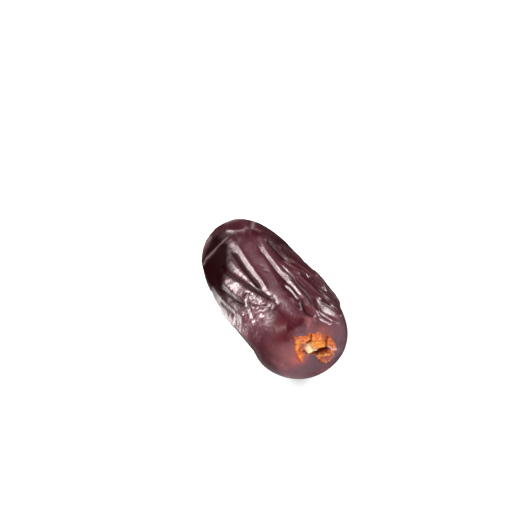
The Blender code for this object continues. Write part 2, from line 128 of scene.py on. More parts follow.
# Each row is route, height and flank reach in mm, lean to one side, and crest radius in
# mm; a height below zero is a furrow. A place on a route is (along, around): along is 0 at
# the stem pole and 1 at the blossom pole, and around is the angle in degrees from the top
# towards the near side (-Y).
FOLDS = [
    # main ridge over the top, steep on its near side, and the recess beside it
    ([(0.645, -11), (0.62, -8), (0.58, -4.5), (0.55, -2), (0.52, -1.5), (0.48, -1), (0.44, -1.5),
      (0.41, -3), (0.385, -4)], 0.50, 0.66, 0.30, 0.14),
    ([(0.44, -1.5), (0.41, -2.5), (0.38, -3), (0.35, -3), (0.32, -3.5), (0.29, -4.5), (0.26, -7),
      (0.235, -10), (0.215, -13)], 0.40, 0.42, 0.20, 0.16),
    ([(0.60, 1), (0.57, 2), (0.54, 2.5), (0.50, 2.5), (0.47, 3), (0.44, 3), (0.41, 2), (0.385, 1.5),
      (0.36, 0.5), (0.33, 0), (0.31, 0)], -0.34, 0.34, 0.00, 0.12),
    ([(0.55, 4), (0.53, 5), (0.50, 7), (0.47, 8.5), (0.44, 9.5), (0.415, 10.5), (0.395, 11)],
     0.16, 0.50, -0.50, 0.20),
    # hooked ridge in the recess
    ([(0.40, 3.0), (0.37, 2.3), (0.35, 2.6), (0.33, 2.5), (0.315, 2.2), (0.302, 3.2), (0.294, 5.2),
      (0.29, 8)], 0.26, 0.28, 0.00, 0.16),
    ([(0.335, 8.5), (0.318, 8.3), (0.304, 7.6), (0.295, 6.0)], 0.20, 0.26, 0.00, 0.14),
    ([(0.395, 7), (0.375, 6.5), (0.36, 5.5), (0.345, 5), (0.33, 5), (0.312, 5.5)],
     -0.26, 0.24, 0.00, 0.10),
    # band that turns in front of the stem dome, the valley below it and the hollow above it
    ([(0.36, 18), (0.33, 17), (0.30, 16.5), (0.275, 16), (0.25, 13), (0.228, 6), (0.212, -1),
      (0.205, -5)], 0.22, 0.70, 0.00, 0.50),
    ([(0.335, 30), (0.315, 28.5), (0.28, 27.5), (0.25, 26), (0.233, 24), (0.222, 17), (0.213, 11),
      (0.205, 7)], -0.26, 0.80, 0.00, 0.50),
    ([(0.236, 28), (0.232, 34), (0.228, 41), (0.222, 50)], -0.16, 0.60, 0.00, 0.30),
    ([(0.315, 0), (0.295, 2.5), (0.275, 3), (0.255, 0.5), (0.238, -2.5), (0.228, -5)],
     -0.34, 0.50, 0.00, 0.20),
    # second ridge, down to the dome, and the creases on each side of it
    ([(0.50, -5), (0.47, -6.5), (0.445, -8), (0.42, -9), (0.395, -10), (0.365, -12), (0.345, -13),
      (0.32, -15), (0.30, -17), (0.28, -18.5)], 0.32, 0.40, 0.20, 0.16),
    ([(0.51, -3.5), (0.48, -4.5), (0.46, -5), (0.42, -6), (0.39, -6), (0.36, -7), (0.33, -8.5),
      (0.30, -9.5), (0.27, -11.5), (0.25, -16.5), (0.238, -22), (0.229, -30), (0.224, -38),
      (0.222, -48), (0.225, -56)], -0.34, 0.24, 0.00, 0.10),
    ([(0.265, -13), (0.25, -15), (0.24, -20), (0.228, -25), (0.215, -32), (0.205, -40)],
     0.16, 0.32, 0.00, 0.25),
    ([(0.25, -11.5), (0.235, -13), (0.222, -17), (0.211, -23), (0.202, -31)],
     -0.24, 0.20, 0.00, 0.10),
    ([(0.235, -7), (0.222, -8.5), (0.211, -12), (0.204, -18), (0.195, -27), (0.193, -34)],
     0.18, 0.30, 0.00, 0.22),
    ([(0.30, -20), (0.292, -27), (0.283, -34), (0.273, -42), (0.265, -52), (0.26, -60)],
     -0.32, 0.28, 0.00, 0.12),
    # finer ridges and creases towards the far side
    ([(0.50, -12), (0.48, -13.5), (0.46, -16), (0.44, -19), (0.43, -22), (0.42, -25), (0.40, -29)],
     0.49, 0.29, 0.10, 0.16),
    ([(0.40, -10), (0.375, -11), (0.355, -12.5), (0.34, -14), (0.325, -15.5), (0.31, -18)],
     -0.36, 0.20, 0.00, 0.10),
    ([(0.45, -13), (0.42, -15), (0.39, -17), (0.36, -19.5), (0.33, -23), (0.305, -29),
      (0.285, -38)], 0.49, 0.33, 0.10, 0.16),
    ([(0.43, -17), (0.40, -20), (0.37, -23), (0.345, -27), (0.32, -33), (0.30, -41)],
     -0.49, 0.28, 0.00, 0.12),
    ([(0.645, -15), (0.61, -18), (0.585, -20), (0.565, -21.5), (0.54, -22), (0.51, -21),
      (0.485, -22)], 0.30, 0.28, 0.20, 0.16),
    ([(0.62, -13), (0.59, -14), (0.56, -15), (0.53, -15.5), (0.50, -17), (0.47, -20)],
     -0.49, 0.31, 0.00, 0.14),
    ([(0.60, -26), (0.57, -29), (0.55, -33), (0.52, -38), (0.49, -42), (0.45, -46), (0.41, -48)],
     0.55, 0.39, 0.10, 0.20),
    ([(0.58, -24), (0.55, -26), (0.52, -29), (0.49, -33), (0.46, -37), (0.43, -40)],
     -0.49, 0.31, 0.00, 0.14),
    ([(0.52, -24), (0.49, -24.5), (0.47, -27), (0.455, -30), (0.43, -33), (0.40, -36),
      (0.37, -40), (0.34, -46)], 0.49, 0.33, 0.10, 0.16),
    ([(0.50, -52), (0.44, -55), (0.40, -58), (0.36, -62), (0.32, -68)], 0.55, 0.55, 0.00, 0.25),
    # long shoulder down the near side, with the furrow under it
    ([(0.655, 22), (0.62, 21.5), (0.59, 22), (0.56, 22.5), (0.53, 23), (0.50, 23), (0.475, 23.5),
      (0.44, 23.5), (0.41, 24.5), (0.385, 26)], 0.25, 0.42, -0.20, 0.16),
    ([(0.625, 33), (0.60, 31), (0.57, 31), (0.53, 31.5), (0.50, 31.3), (0.468, 31), (0.44, 31),
      (0.41, 31.5)], -0.52, 0.26, 0.00, 0.10),
    ([(0.675, 24), (0.66, 23), (0.645, 23), (0.63, 24), (0.615, 26)], 0.26, 0.75, -0.30, 0.40),
    ([(0.655, 17), (0.638, 20), (0.628, 24), (0.632, 29), (0.645, 33)], -0.16, 0.30, 0.00, 0.12),
    # broad ridges beside it, each with a furrow on its low side
    ([(0.61, 41), (0.58, 40), (0.55, 38.5), (0.52, 36.5), (0.49, 35), (0.465, 34)],
     0.18, 0.60, -0.30, 0.35),
    ([(0.62, 56), (0.59, 53.5), (0.56, 51), (0.53, 47.5), (0.50, 44), (0.47, 41), (0.45, 38.5),
      (0.42, 35), (0.39, 31.5), (0.365, 28.5), (0.35, 27)], -0.48, 0.34, 0.00, 0.15),
    ([(0.57, 67), (0.55, 63), (0.53, 61), (0.51, 60), (0.49, 59), (0.465, 57), (0.45, 54),
      (0.44, 50)], 0.44, 0.90, 0.45, 0.30),
    ([(0.57, 77), (0.54, 72), (0.51, 69), (0.48, 66.5), (0.455, 64), (0.435, 60), (0.425, 55)],
     -0.50, 0.38, 0.00, 0.15),
    ([(0.55, 81), (0.53, 79), (0.50, 77), (0.47, 75), (0.44, 73), (0.41, 70), (0.385, 66)],
     0.42, 0.80, 0.20, 0.28),
    ([(0.56, 92), (0.53, 88), (0.50, 85), (0.47, 82.5), (0.44, 80)], -0.34, 0.40, 0.00, 0.20),
    ([(0.58, 106), (0.54, 102), (0.51, 100), (0.48, 98), (0.45, 96), (0.42, 94), (0.39, 91),
      (0.36, 88), (0.33, 85)], 0.60, 0.95, 0.35, 0.35),
    # crumpled patch: short ridges and creases that run round the fruit
    ([(0.43, 43), (0.425, 46.5), (0.41, 47.5), (0.395, 46.5), (0.38, 44.5), (0.37, 41),
      (0.362, 37), (0.358, 33)], 0.24, 0.35, 0.00, 0.20),
    ([(0.42, 50), (0.405, 51), (0.39, 50), (0.378, 46.5), (0.366, 42), (0.352, 38), (0.347, 33)],
     -0.26, 0.25, 0.00, 0.12),
    ([(0.372, 58), (0.363, 52), (0.355, 47.5), (0.347, 43), (0.341, 39), (0.336, 34.5)],
     0.28, 0.35, 0.00, 0.20),
    ([(0.45, 45), (0.435, 48), (0.42, 51.5), (0.40, 55), (0.38, 57.5), (0.36, 59.5), (0.34, 61)],
     -0.32, 0.30, 0.00, 0.12),
    ([(0.345, 62), (0.338, 56), (0.333, 50), (0.327, 45)], 0.18, 0.34, 0.00, 0.18),
    ([(0.41, 80), (0.39, 76), (0.37, 72), (0.35, 69), (0.33, 67)], 0.30, 0.55, 0.10, 0.25),
    ([(0.375, 25.5), (0.36, 25), (0.345, 26), (0.335, 28)], -0.18, 0.22, 0.00, 0.12),
    ([(0.27, 51), (0.266, 46), (0.26, 42), (0.25, 38), (0.24, 34.5)], 0.18, 0.45, 0.00, 0.25),
    # faint creases across the broad band
    ([(0.515, 15.5), (0.50, 13.5), (0.488, 11)], -0.08, 0.25, 0.00, 0.12),
    ([(0.49, 16), (0.475, 13), (0.46, 10)], -0.08, 0.25, 0.00, 0.12),
    # crease beside the stem scar and the swelling under it
    ([(0.20, -78), (0.165, -84), (0.135, -88), (0.10, -92), (0.07, -98), (0.045, -115)],
     -0.26, 0.80, 0.00, 0.35),
    ([(0.18, -98), (0.14, -101), (0.10, -106), (0.07, -116), (0.055, -135)], 0.26, 0.70, 0.00, 0.40),
    # creases over the blossom end
    ([(0.72, 24), (0.713, 20), (0.697, 15), (0.686, 9.5), (0.68, 4), (0.67, -1)],
     0.22, 0.45, 0.20, 0.18),
    ([(0.66, 0), (0.672, -1.5), (0.69, -4), (0.71, -7), (0.73, -11), (0.745, -16)],
     0.30, 0.40, 0.00, 0.18),
    ([(0.69, 75), (0.688, 68), (0.685, 60), (0.68, 54), (0.675, 48), (0.67, 42), (0.665, 36)],
     0.28, 0.40, 0.00, 0.15),
]


def smooth_route(places, count):
    """Points evenly spread on a Catmull-Rom curve through the given places."""
    stops = np.asarray(places, dtype=float)
    stops = np.vstack([2 * stops[0] - stops[1], stops, 2 * stops[-1] - stops[-2]])
    at = np.linspace(0.0, len(stops) - 3 - 1e-9, count)
    index = at.astype(int)
    f = (at - index)[:, None]
    a, b, c, d = (stops[index + shift] for shift in range(4))
    return 0.5 * (2 * b + (c - a) * f + (2 * a - 5 * b + 4 * c - d) * f ** 2
                  + (3 * b - a - 3 * c + d) * f ** 3)


def fold(points, places, height, reach, lean, crest_radius):
    """Height of one fold, a ridge along a route on the body.

    The profile over the distance d is exp(-(sqrt(d^2 + r^2) - r) / reach): a crest of
    radius r with hollow flanks. The reach is longer on one side by the lean, and the
    height rises and fades away smoothly over the first and last FOLD_FADE of the route.
    """
    route = smooth_route(places, ROUTE_SAMPLES)
    centres, normals = body_surface(route[:, 0] * math.pi, np.radians(route[:, 1]))
    low = centres.min(axis=0) - FOLD_SCOPE * reach
    high = centres.max(axis=0) + FOLD_SCOPE * reach
    close = np.flatnonzero(((points > low) & (points < high)).all(axis=1))
    runs = centres[1:] - centres[:-1]
    lengths = np.linalg.norm(runs, axis=1)
    from_start = points[close][:, None, :] - centres[None, :-1, :]
    share = np.clip((from_start * runs).sum(axis=2) / lengths ** 2, 0.0, 1.0)
    offset = from_start - share[:, :, None] * runs
    distance = np.linalg.norm(offset, axis=2)
    nearest = distance.argmin(axis=1)
    row = np.arange(len(close))
    d = distance[row, nearest]
    sideways = np.cross(normals[:-1], runs / lengths[:, None])
    side = np.sign((offset[row, nearest] * sideways[nearest]).sum(axis=1))
    progress = (nearest + share[row, nearest]) / (ROUTE_SAMPLES - 1)
    fade = smooth_step(progress, 0.0, FOLD_FADE) * smooth_step(1.0 - progress, 0.0, FOLD_FADE)
    flank = reach * (1.0 + lean * side)
    raised = np.zeros(len(points))
    raised[close] = height * fade * np.exp(-(np.hypot(d, crest_radius) - crest_radius) / flank)
    return raised


# Broad dents where the flesh has sunk under the skin: place, half length, half width and
# depth in mm. A depth below zero is a swelling.
DENTS = [
    ((0.48, 15), 8.0, 2.4, 0.15),
    ((0.27, 28), 2.6, 3.0, 0.30),
    ((0.27, 2), 1.6, 1.2, 0.30),
    ((0.31, 125), 3.5, 3.5, -0.55),
    ((0.71, 88), 4.0, 4.0, -0.35),
    ((0.50, 150), 12.0, 6.0, 0.50),
    ((0.55, -110), 10.0, 6.0, 0.50),
    ((0.35, -150), 8.0, 5.0, 0.40),
]

# The net of folds over the far side and the underside, on the borders of cells drawn out
# along the fruit. It fades out over the near side and the stem dome, and is weaker at the
# blossom end.
NET_CELLS = 120
NET_SEED = 3
NET_STRETCH = 3.6
NET_REACH = 0.60 * MM
NET_CREST = 0.16 * MM
NET_HEIGHT = 0.42 * MM
NET_LEVEL = 0.25
WARP_LENGTH = 7.0 * MM
WARP_SIZE = 0.5 * MM
WARP_SEED = 11
SWELL_LENGTH = 12.0 * MM
SWELL_SEED = 5
NET_BARE_SIDE = ((0.45, 25), 15.0 * MM, 10.0 * MM)
NET_BARE_STRENGTH = 2.0
NET_STEM_END = 13.0 * MM
NET_STEM_BLEND = 1.2 * MM
NET_BLOSSOM_END = 14.0 * MM
NET_BLOSSOM_BLEND = 1.5 * MM
NET_BLOSSOM_LOSS = 0.7
NET_LEAST = 0.4
NET_SWELL = 0.8


def fold_net(points):
    """Ridges along the borders between cells scattered over the body and drawn out along X."""
    rng = np.random.default_rng(NET_SEED)
    along = np.arccos(rng.uniform(-0.97, 0.97, NET_CELLS))
    around = rng.uniform(-math.pi, math.pi, NET_CELLS)
    squeeze = np.array([1.0 / NET_STRETCH, 1.0, 1.0])
    seeds = body_surface(along, around)[0] * squeeze
    warp = np.stack([ripple(points, WARP_LENGTH, WARP_SEED + i) for i in range(3)], axis=1)
    warped = (points + WARP_SIZE * warp) * squeeze
    first = np.full(len(points), np.inf)
    second = np.full(len(points), np.inf)
    for seed in seeds:
        distance = np.linalg.norm(warped - seed, axis=1)
        second = np.minimum(second, np.maximum(first, distance))
        first = np.minimum(first, distance)
    edge = np.hypot(second - first, NET_CREST) - NET_CREST
    return np.exp(-edge / NET_REACH)


def net_share(points):
    """Strength of the net at each point: uneven by its swell, and less where it fades."""
    near_side = np.clip(NET_BARE_STRENGTH * patch(points, *NET_BARE_SIDE), 0.0, 1.0)
    stem_end = 1.0 / (1.0 + np.exp((NET_STEM_END - points[:, 0]) / NET_STEM_BLEND))
    blossom_end = 1.0 / (1.0 + np.exp((NET_BLOSSOM_END + points[:, 0]) / NET_BLOSSOM_BLEND))
    swell = np.clip(0.5 + 0.5 * ripple(points, SWELL_LENGTH, SWELL_SEED), 0.0, 1.0)
    share = NET_LEAST + NET_SWELL * swell
    return (share * (1.0 - near_side) * (1.0 - stem_end)
            * (1.0 - NET_BLOSSOM_LOSS * blossom_end))


# The crumpled patches, where thin skin has puckered over shrunken flesh: place, half length
# and half width in mm, and strength.
CRUMPLED_PATCHES = [
    ((0.375, 48), 3.2, 2.6, 1.1),
    ((0.34, 62), 2.6, 2.6, 0.6),
    ((0.45, 87), 6.0, 3.0, 0.7),
    ((0.50, 57), 4.5, 2.6, 1.0),
]
# The crumples in them, from coarse to fine: height and spacing in mm, seed, the way that
# they run, how far they are drawn out along it, and crest width.
CRUMPLES = [
    (0.16, 3.2, 24, (0.5, -1, -0.8), 2.0, 0.30),
    (0.10, 1.8, 22, (0.3, -1, -1), 1.6, 0.30),
    (0.05, 0.9, 23, (1, 0, 0.4), 1.3, 0.15),
]
CRUMPLE_FALL = 0.45
CRUMPLE_LEVEL = 0.4
# How high a ridge is fully pale, and how deep a furrow is where painted shade in it starts
# and ends, and how dark that shade gets.
CREST_HEIGHT = 0.50 * MM
FURROW_SHADE_START = 0.14 * MM
FURROW_SHADE_END = 0.44 * MM
FURROW_PAINTED_SHADE = 0.85


def crumple(points, wavelength, seed, direction, stretch, crest):
    """Ridges of about one spacing, where smooth noise drawn out along a direction is zero."""
    direction = np.asarray(direction, dtype=float)
    direction /= np.linalg.norm(direction)
    drawn = points - (points @ direction)[:, None] * direction * (1.0 - 1.0 / stretch)
    noise = ripple(drawn, wavelength, seed)
    return np.exp(-(np.hypot(noise, crest) - crest) / CRUMPLE_FALL)


def skin_relief(points):
    """Height of the skin over the smooth body, and where ridges, painted shade and crumples are.

    The height is the folds, less the dents, plus the net and the crumples. Near the level
    that the fruit rests on, dents and net fade out.
    """
    ridges = np.zeros(len(points))
    furrows = np.zeros(len(points))
    for places, lift, reach, lean, crest_radius in FOLDS:
        share = fold(points, places, lift * MM, reach * MM, lean, crest_radius * MM)
        if lift > 0:
            ridges += share
        else:
            furrows -= share
    height = ridges - furrows
    clear_of_rest = smooth_step(points[:, 2], REST_LEVEL, REST_LEVEL + REST_BLEND)
    for place, half_length, half_width, depth in DENTS:
        dent = patch(points, place, half_length * MM, half_width * MM)
        height -= depth * MM * dent * clear_of_rest
    where = net_share(points) * clear_of_rest
    net = fold_net(points)
    height += NET_HEIGHT * (net - NET_LEVEL) * where
    crumpled = np.zeros(len(points))
    for place, half_length, half_width, strength in CRUMPLED_PATCHES:
        crumpled += strength * patch(points, place, half_length * MM, half_width * MM)
    crumpled = np.clip(crumpled, 0.0, 1.0)
    for lift, spacing, seed, direction, stretch, crest in CRUMPLES:
        puckers = crumple(points, spacing * MM, seed, direction, stretch, crest)
        height += lift * MM * (puckers - CRUMPLE_LEVEL) * crumpled
    crests = np.clip(ridges / CREST_HEIGHT + net * where, 0.0, 1.0)
    # The furrows become painted shade: darker, duller skin where they are deep enough.
    furrows = FURROW_PAINTED_SHADE * smooth_step(furrows, FURROW_SHADE_START, FURROW_SHADE_END)
    return height, crests, furrows, crumpled


# The stem scar: where the fruit was pulled off its strand the skin is torn open in a
# ragged outline. Inside it bare orange flesh lies sunken round a stub of pale fibres, with
# strands, a pocket and grooves with painted shade in them, and torn bits of skin beside it.
SCAR_NEAR = 0.05 * MM
SCAR_UP = 3.3 * MM
SCAR_DEPTH = 0.40 * MM
SCAR_WALL = 0.30 * MM
SCAR_LIP = 0.09 * MM
WALL_START = -0.05 * MM
LIP_OFFSET = 0.30 * MM
LIP_WIDTH = 0.28 * MM
SCAR_START = 12.0 * MM
SCAR_FULL = 15.0 * MM
TEAR_SIZE = 0.09 * MM
TEAR_LENGTH = 1.1 * MM
TEAR_SEED = 31
ROUGH_SIZE = 0.07 * MM
ROUGH_LENGTH = 0.8 * MM
ROUGH_SEED = 32
# The outline, as (near, up) in mm from the middle of the scar.
SCAR_OUTLINE = [
    (4.1, 2.9), (2.6, 3.1), (1.5, 3.3), (0.6, 3.5), (-0.3, 3.2), (-1.1, 3.0), (-2.3, 2.3),
    (-3.0, 1.5), (-3.7, 0.1), (-4.2, -1.1), (-4.5, -2.1), (-3.5, -2.2), (-3.5, -3.1),
    (-2.8, -3.9), (-1.7, -4.1), (-0.6, -3.5), (0.2, -2.0), (0.6, -1.1), (1.6, -0.8), (2.3, -0.7),
    (2.8, -1.2), (3.0, -2.2), (3.6, -2.4), (4.1, -1.0), (4.3, 0.7), (4.3, 2.1),
]
# The forms inside it: start and end, half width and height in mm, and what shows there.
SCAR_FORMS = [
    ((1.80, 1.00), (1.70, 0.10), 0.55, 0.80, "cream"),
    ((1.60, 0.60), (-0.20, -0.50), 0.36, 0.60, "cream"),
    ((0.80, 1.00), (-1.20, 0.30), 0.34, 0.45, "amber"),
    ((1.10, 1.50), (-0.90, 1.20), 0.26, 0.35, "amber"),
    ((0.10, -1.70), (-2.50, -2.20), 0.17, 0.40, "amber"),
    ((3.60, 2.20), (3.90, 0.40), 0.22, 0.15, "amber"),
    # The dark forms sink in, and their dark colour is painted shade.
    ((0.40, -0.65), (-2.30, -1.05), 0.42, -1.20, "dark"),
    ((-0.10, -1.25), (-2.50, -1.30), 0.42, -0.25, "dark"),
    ((-2.00, -0.90), (-2.30, 1.10), 0.22, -0.60, "dark"),
    ((-1.90, 1.10), (-2.80, 1.60), 0.16, -0.40, "dark"),
    ((0.70, 3.10), (1.00, 2.00), 0.13, -0.25, "dark"),
    ((1.90, 1.75), (1.10, 1.95), 0.15, -0.25, "dark"),
    ((2.50, 0.10), (2.10, -0.50), 0.20, -0.30, "dark"),
    ((-2.40, -0.40), (-3.10, -0.90), 0.22, 0.35, "pale"),
    ((-3.00, -1.20), (-4.20, -1.70), 0.25, 0.35, "pale"),
    ((-1.30, 3.00), (-1.60, 1.40), 0.30, 0.40, "tongue"),
    ((-1.40, -2.60), (-2.60, -3.20), 0.90, 0.15, "tongue"),
    ((2.70, 1.40), (2.30, -0.60), 0.30, 0.10, "tongue"),
]


def scar_place(points):
    """Distances towards the near side and up from the middle of the scar, in metres."""
    return -points[:, 1] - SCAR_NEAR, points[:, 2] - SCAR_UP


def stroke_distance(places, start, end):
    """Distance of each place from the straight stroke between two ends."""
    run = end - start
    from_start = places - start
    share = np.clip(from_start @ run / (run @ run), 0.0, 1.0)
    return np.linalg.norm(from_start - share[:, None] * run, axis=1)


def inside_outline(places, outline):
    """Distance from a closed outline, above zero inside it and below zero outside."""
    nearest = np.full(len(places), np.inf)
    crossings = np.zeros(len(places), dtype=int)
    for start, end in zip(outline, np.roll(outline, -1, axis=0)):
        nearest = np.minimum(nearest, stroke_distance(places, start, end))
        spans = (start[1] > places[:, 1]) != (end[1] > places[:, 1])
        rise = end[1] - start[1]
        at = start[0] + (places[:, 1] - start[1]) * (end[0] - start[0]) / rise if rise else 0.0
        crossings += spans & (places[:, 0] < at)
    return np.where(crossings % 2 == 1, nearest, -nearest)


def stem_scar(points):
    """Height of the scar, the share of bare flesh, and what shows at each of its forms.

    The outline gives a wall down to a sunken floor and a lip of skin outside it; each
    form adds height * exp(-(distance from its stroke / half width)^2). Noise makes the
    outline ragged and the flesh rough.
    """
    near, up = scar_place(points)
    front = smooth_step(points[:, 0], SCAR_START, SCAR_FULL)
    places = np.stack([near, up], axis=1)
    tear = TEAR_SIZE * ripple(points, TEAR_LENGTH, TEAR_SEED)
    within = inside_outline(places, np.array(SCAR_OUTLINE) * MM) + tear
    inside = smooth_step(within, WALL_START, SCAR_WALL)
    lip = np.exp(-((within + LIP_OFFSET) / LIP_WIDTH) ** 2)
    height = SCAR_LIP * lip - SCAR_DEPTH * inside
    height += ROUGH_SIZE * inside * ripple(points, ROUGH_LENGTH, ROUGH_SEED)
    shown = {"cream": 0.0, "amber": 0.0, "dark": 0.0, "pale": 0.0, "tongue": 0.0}
    for start, end, half, lift, what in SCAR_FORMS:
        away = stroke_distance(places, np.array(start) * MM, np.array(end) * MM)
        form = np.exp(-(away / (half * MM)) ** 2) * inside
        height += lift * MM * form
        shown[what] = np.maximum(shown[what], form)
    return height * front, inside * front, {name: form * front for name, form in shown.items()}


# What the skin shows: pale bloom with painted sheen where it is smooth, dark and dull painted
# shade in broad patches and furrows, red where it is thin with a painted glow, and painted
# shade in grey at the stem end. Noise pushes the edges of these tones about.
TONE_NOISE_LENGTH = 3.0 * MM
TONE_NOISE_SIZE = 0.25 * MM
TONE_NOISE_SEED = 41
# Place, half length and half width in mm, strength, and which tone.
SKIN_TONES = [
    # These rows are pale bloom with painted sheen and painted highlights on smooth skin and ridges.
    ((0.50, 14), 6.0, 2.6, 0.50, "bloom_and_sheen"),
    ((0.60, 8), 3.5, 4.0, 0.60, "bloom_and_sheen"),
    ((0.355, 20), 3.0, 1.2, 0.70, "bloom_and_sheen"),
    ((0.30, 17), 2.2, 1.1, 0.70, "bloom_and_sheen"),
    ((0.26, 11.5), 2.0, 1.0, 0.70, "bloom_and_sheen"),
    ((0.225, 1), 1.5, 1.0, 0.60, "bloom_and_sheen"),
    ((0.335, -3.2), 1.8, 0.4, 1.00, "bloom_and_sheen"),
    ((0.29, -4.5), 1.8, 0.4, 1.00, "bloom_and_sheen"),
    ((0.25, -8.5), 1.6, 0.4, 1.00, "bloom_and_sheen"),
    ((0.30, 78), 5.0, 5.0, 0.10, "bloom_and_sheen"),
    ((0.40, 88), 5.0, 3.0, 0.30, "bloom_and_sheen"),
    ((0.735, 8), 2.0, 4.0, 0.20, "bloom_and_sheen"),
    ((0.37, -30), 4.0, 3.5, 0.25, "bloom_and_sheen"),
    ((0.36, 52), 3.0, 2.6, 0.55, "bloom_and_sheen"),
    ((0.32, 60), 2.4, 2.4, 0.50, "bloom_and_sheen"),
    # The deep rows are painted shade: dark, dull patches on the blossom end and the far side.
    ((0.66, 46), 3.2, 4.0, 1.00, "deep"),
    ((0.72, 42), 2.0, 3.0, 0.70, "deep"),
    ((0.61, 68), 4.2, 3.8, 1.00, "deep"),
    ((0.68, 76), 2.6, 3.6, 0.80, "deep"),
    ((0.52, 76), 3.6, 2.2, 0.80, "deep"),
    ((0.46, 64), 2.0, 1.2, 0.60, "deep"),
    ((0.63, 87), 2.6, 2.6, 0.60, "deep"),
    ((0.60, 50), 3.0, 2.6, 0.40, "deep"),
    ((0.75, -5), 3.0, 5.0, 0.35, "deep"),
    ((0.61, -38), 4.5, 5.0, 0.80, "deep"),
    ((0.51, -56), 5.0, 3.6, 0.60, "deep"),
    ((0.42, -62), 5.0, 3.0, 0.40, "deep"),
    ((0.31, 29), 1.4, 0.7, 0.80, "red"),
    ((0.275, 40), 2.4, 2.4, 0.80, "red"),
    ((0.258, 26), 1.8, 1.2, 1.00, "red"),
    ((0.238, 15), 1.0, 0.9, 0.90, "red"),
    ((0.238, 38), 1.5, 2.2, 0.80, "red"),
    ((0.28, 3), 1.6, 0.7, 1.00, "red"),
    ((0.262, -1.5), 1.4, 0.6, 1.00, "red"),
    ((0.235, 52), 1.8, 2.2, 0.70, "red"),
    # These rows are a painted glow, as of light shining through thin skin by the scar.
    ((0.213, 6), 1.0, 1.0, 0.25, "glow"),
    ((0.14, 66), 2.0, 2.0, 0.25, "glow"),
    ((0.115, 84), 1.0, 1.6, 0.45, "glow"),
    ((0.19, 80), 2.5, 2.5, 0.12, "glow"),
    ((0.16, -15), 1.5, 2.0, 0.30, "glow"),
    # These rows are painted shade in grey over parts of the stem dome.
    ((0.18, 10), 1.6, 3.0, 0.50, "grey"),
    ((0.17, 70), 2.0, 2.4, 0.35, "grey"),
    ((0.19, -45), 2.0, 3.0, 0.50, "grey"),
    ((0.19, 60), 1.2, 2.0, 0.40, "grey"),
    ((0.075, -95), 2.5, 4.0, 0.60, "grey"),
    ((0.13, -90), 2.5, 3.0, 0.60, "grey"),
    ((0.055, 100), 1.2, 1.5, 0.80, "grey"),
    ((0.06, 130), 2.0, 2.6, 0.60, "grey"),
    ((0.16, 135), 3.0, 3.0, 0.50, "grey"),
]
# Thin pale lines, partly bloom kept on sharp creases and partly painted highlights on ridges,
# crumples and the rim: route, half width in mm and strength.
BLOOM_AND_HIGHLIGHT_LINES = [
    ([(0.72, 97), (0.69, 73), (0.675, 51), (0.68, 33), (0.685, 22)], 0.14, 0.40),
    ([(0.715, 24), (0.695, 16), (0.68, 6), (0.68, -9)], 0.14, 0.50),
    ([(0.755, -35), (0.71, -19), (0.67, -7)], 0.18, 0.60),
    ([(0.68, -9), (0.67, -14), (0.655, -18)], 0.12, 0.40),
    ([(0.735, 92), (0.752, 77), (0.757, 60), (0.757, 44)], 0.50, 0.45),
    ([(0.79, 19), (0.777, 2), (0.78, -15), (0.765, -30)], 0.50, 0.40),
    ([(0.650, 25), (0.635, 25), (0.618, 26)], 0.40, 0.40),
    ([(0.268, 51), (0.262, 46), (0.255, 40), (0.247, 35)], 0.30, 0.35),
    ([(0.355, 38), (0.34, 43), (0.322, 48), (0.305, 54)], 0.28, 0.35),
    ([(0.37, 47), (0.35, 52), (0.335, 55), (0.32, 59)], 0.25, 0.35),
    ([(0.39, 58), (0.37, 60), (0.35, 62)], 0.28, 0.30),
    ([(0.15, -90), (0.12, -90), (0.09, -90), (0.06, -92)], 0.45, 0.35),
]
# The dome of the stem end: from where to where along the fruit its tone comes in, and how
# far from the middle of the scar it starts and ends fading out.
DOME_ALONG = (13.5 * MM, 19.5 * MM)
DOME_REACH = (7.0 * MM, 12.0 * MM)
# The shine: how rough, glossy and waxy the skin is, and what dullness and crumpling change.
SKIN_ROUGHNESS = 0.23
DULL_ROUGHNESS = 0.27
CRUMPLED_ROUGHNESS = 0.04
SKIN_GLOSS = 0.50
DULL_GLOSS = 0.49
CRUMPLED_GLOSS = 0.40
WAX_COAT = 0.06
RED_DULLNESS = 0.85


def skin_tone(points, which):
    """Share of one of the broad tones at each point."""
    tone = np.zeros(len(points))
    noise = [ripple(points, TONE_NOISE_LENGTH, TONE_NOISE_SEED + i) for i in range(3)]
    pushed = points + TONE_NOISE_SIZE * np.stack(noise, axis=1)
    for place, half_length, half_width, strength, name in SKIN_TONES:
        if name == which:
            tone += strength * patch(pushed, place, half_length * MM, half_width * MM)
    return np.clip(tone, 0.0, 1.0)


def bloom_and_highlight_lines(points):
    """Share of the pale lines at each point: bloom on sharp creases and painted highlights."""
    bloom = np.zeros(len(points))
    for places, half_width, strength in BLOOM_AND_HIGHLIGHT_LINES:
        bloom_and_highlight_line = fold(points, places, strength, half_width * MM, 0.0, half_width * MM)
        bloom = np.maximum(bloom, bloom_and_highlight_line)
    return bloom


def dome_share(points):
    """Share of the stem dome's tone, round the scar on the end of the fruit."""
    near, up = scar_place(points)
    from_scar = np.hypot(near, up)
    return smooth_step(points[:, 0], *DOME_ALONG) * (1.0 - smooth_step(from_scar, *DOME_REACH))


# The skin surface itself: a grid of rings from pole to pole, each vertex moved out along
# the body's normal by the relief, and pressed flat where the fruit rests. The spokes stand
# closest round one turn, a little to the near side of the top.
RINGS = 300
SPOKES = 320
CROWDING = 0.4
CROWDED_TURN = 0.5


